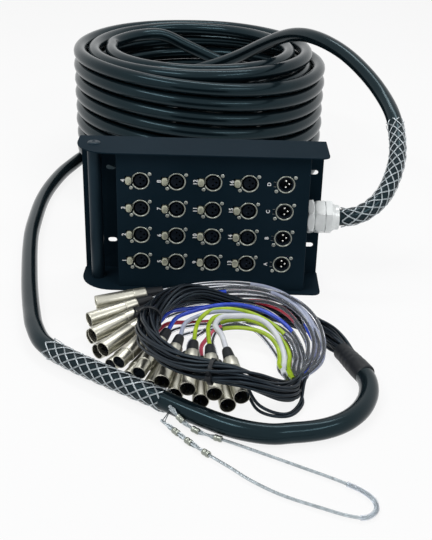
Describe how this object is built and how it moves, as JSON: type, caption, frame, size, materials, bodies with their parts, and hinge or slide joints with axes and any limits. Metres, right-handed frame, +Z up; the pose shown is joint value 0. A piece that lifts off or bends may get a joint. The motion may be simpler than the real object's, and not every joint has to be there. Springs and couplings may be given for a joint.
{
  "type": "stage box snake",
  "caption": "Sheet steel stage box with a grid of three-pin audio sockets and a side handle, its coiled multicore cable, pulling eye and a fan of tails with plugs.",
  "frame": {"origin": "bottom centre of the box, on the plane of its lower flange", "axes": "+X to the right seen from the sockets, along the box; +Y from the sockets to the back plate; +Z up"},
  "size_m": [0.5547, 1.1951, 0.2704],
  "materials": {
    "powder_coat": "satin blue-black powder coat with a fine grain",
    "nickel": "satin nickel plate",
    "gland_metal": "bright nickel plated brass",
    "jacket": "smooth black cable jacket with a soft gloss",
    "steel_wire": "galvanised steel wire",
    "plug_metal": "satin nickel plug shells with black boots",
    "tail_jacket": "thin black cable jacket"
  },
  "bodies": {
    "box": {"chassis": "powder_coat", "connector_cover": "powder_coat", "handle_tube": "powder_coat", "handle_screw_top": "powder_coat", "handle_screw_bottom": "powder_coat", "socket_01": "nickel", "socket_02": "nickel", "socket_03": "nickel", "socket_04": "nickel", "socket_05": "nickel", "socket_06": "nickel", "socket_07": "nickel", "socket_08": "nickel", "socket_09": "nickel", "socket_10": "nickel", "socket_11": "nickel", "socket_12": "nickel", "socket_13": "nickel", "socket_14": "nickel", "socket_15": "nickel", "socket_16": "nickel", "socket_a": "nickel", "socket_b": "nickel", "socket_c": "nickel", "socket_d": "nickel", "gland_body": "gland_metal", "gland_locknut": "gland_metal", "gland_dome_nut": "gland_metal", "multicore_box_end": "jacket", "multicore_coil": "jacket", "multicore_coil_core": "jacket", "multicore_fan_end": "jacket", "cable_grip_box_end": "steel_wire", "cable_grip_fan_end": "steel_wire", "pulling_eye": "steel_wire", "fan_out_boot": "tail_jacket", "tails_ring": "tail_jacket", "cable_tie_left": "tail_jacket", "cable_tie_front": "tail_jacket", "tails_1_4": "plug_metal", "tails_5_8": "plug_metal", "tails_9_12": "plug_metal", "tails_13_16": "plug_metal", "tails_a_d": "plug_metal"},
    "latch_01": {"latch_01": "nickel"},
    "latch_02": {"latch_02": "nickel"},
    "latch_03": {"latch_03": "nickel"},
    "latch_04": {"latch_04": "nickel"},
    "latch_05": {"latch_05": "nickel"},
    "latch_06": {"latch_06": "nickel"},
    "latch_07": {"latch_07": "nickel"},
    "latch_08": {"latch_08": "nickel"},
    "latch_09": {"latch_09": "nickel"},
    "latch_10": {"latch_10": "nickel"},
    "latch_11": {"latch_11": "nickel"},
    "latch_12": {"latch_12": "nickel"},
    "latch_13": {"latch_13": "nickel"},
    "latch_14": {"latch_14": "nickel"},
    "latch_15": {"latch_15": "nickel"},
    "latch_16": {"latch_16": "nickel"}
  },
  "joints": [
    {"name": "latch_01_press", "type": "slide", "parent": "box", "child": "latch_01", "axis": [0, 1, 0], "range_m": [0, 0.0018], "stiffness_N_per_m": 400, "springref_m": -0.001},
    {"name": "latch_02_press", "type": "slide", "parent": "box", "child": "latch_02", "axis": [0, 1, 0], "range_m": [0, 0.0018], "stiffness_N_per_m": 400, "springref_m": -0.001},
    {"name": "latch_03_press", "type": "slide", "parent": "box", "child": "latch_03", "axis": [0, 1, 0], "range_m": [0, 0.0018], "stiffness_N_per_m": 400, "springref_m": -0.001},
    {"name": "latch_04_press", "type": "slide", "parent": "box", "child": "latch_04", "axis": [0, 1, 0], "range_m": [0, 0.0018], "stiffness_N_per_m": 400, "springref_m": -0.001},
    {"name": "latch_05_press", "type": "slide", "parent": "box", "child": "latch_05", "axis": [0, 1, 0], "range_m": [0, 0.0018], "stiffness_N_per_m": 400, "springref_m": -0.001},
    {"name": "latch_06_press", "type": "slide", "parent": "box", "child": "latch_06", "axis": [0, 1, 0], "range_m": [0, 0.0018], "stiffness_N_per_m": 400, "springref_m": -0.001},
    {"name": "latch_07_press", "type": "slide", "parent": "box", "child": "latch_07", "axis": [0, 1, 0], "range_m": [0, 0.0018], "stiffness_N_per_m": 400, "springref_m": -0.001},
    {"name": "latch_08_press", "type": "slide", "parent": "box", "child": "latch_08", "axis": [0, 1, 0], "range_m": [0, 0.0018], "stiffness_N_per_m": 400, "springref_m": -0.001},
    {"name": "latch_09_press", "type": "slide", "parent": "box", "child": "latch_09", "axis": [0, 1, 0], "range_m": [0, 0.0018], "stiffness_N_per_m": 400, "springref_m": -0.001},
    {"name": "latch_10_press", "type": "slide", "parent": "box", "child": "latch_10", "axis": [0, 1, 0], "range_m": [0, 0.0018], "stiffness_N_per_m": 400, "springref_m": -0.001},
    {"name": "latch_11_press", "type": "slide", "parent": "box", "child": "latch_11", "axis": [0, 1, 0], "range_m": [0, 0.0018], "stiffness_N_per_m": 400, "springref_m": -0.001},
    {"name": "latch_12_press", "type": "slide", "parent": "box", "child": "latch_12", "axis": [0, 1, 0], "range_m": [0, 0.0018], "stiffness_N_per_m": 400, "springref_m": -0.001},
    {"name": "latch_13_press", "type": "slide", "parent": "box", "child": "latch_13", "axis": [0, 1, 0], "range_m": [0, 0.0018], "stiffness_N_per_m": 400, "springref_m": -0.001},
    {"name": "latch_14_press", "type": "slide", "parent": "box", "child": "latch_14", "axis": [0, 1, 0], "range_m": [0, 0.0018], "stiffness_N_per_m": 400, "springref_m": -0.001},
    {"name": "latch_15_press", "type": "slide", "parent": "box", "child": "latch_15", "axis": [0, 1, 0], "range_m": [0, 0.0018], "stiffness_N_per_m": 400, "springref_m": -0.001},
    {"name": "latch_16_press", "type": "slide", "parent": "box", "child": "latch_16", "axis": [0, 1, 0], "range_m": [0, 0.0018], "stiffness_N_per_m": 400, "springref_m": -0.001}
  ]
}
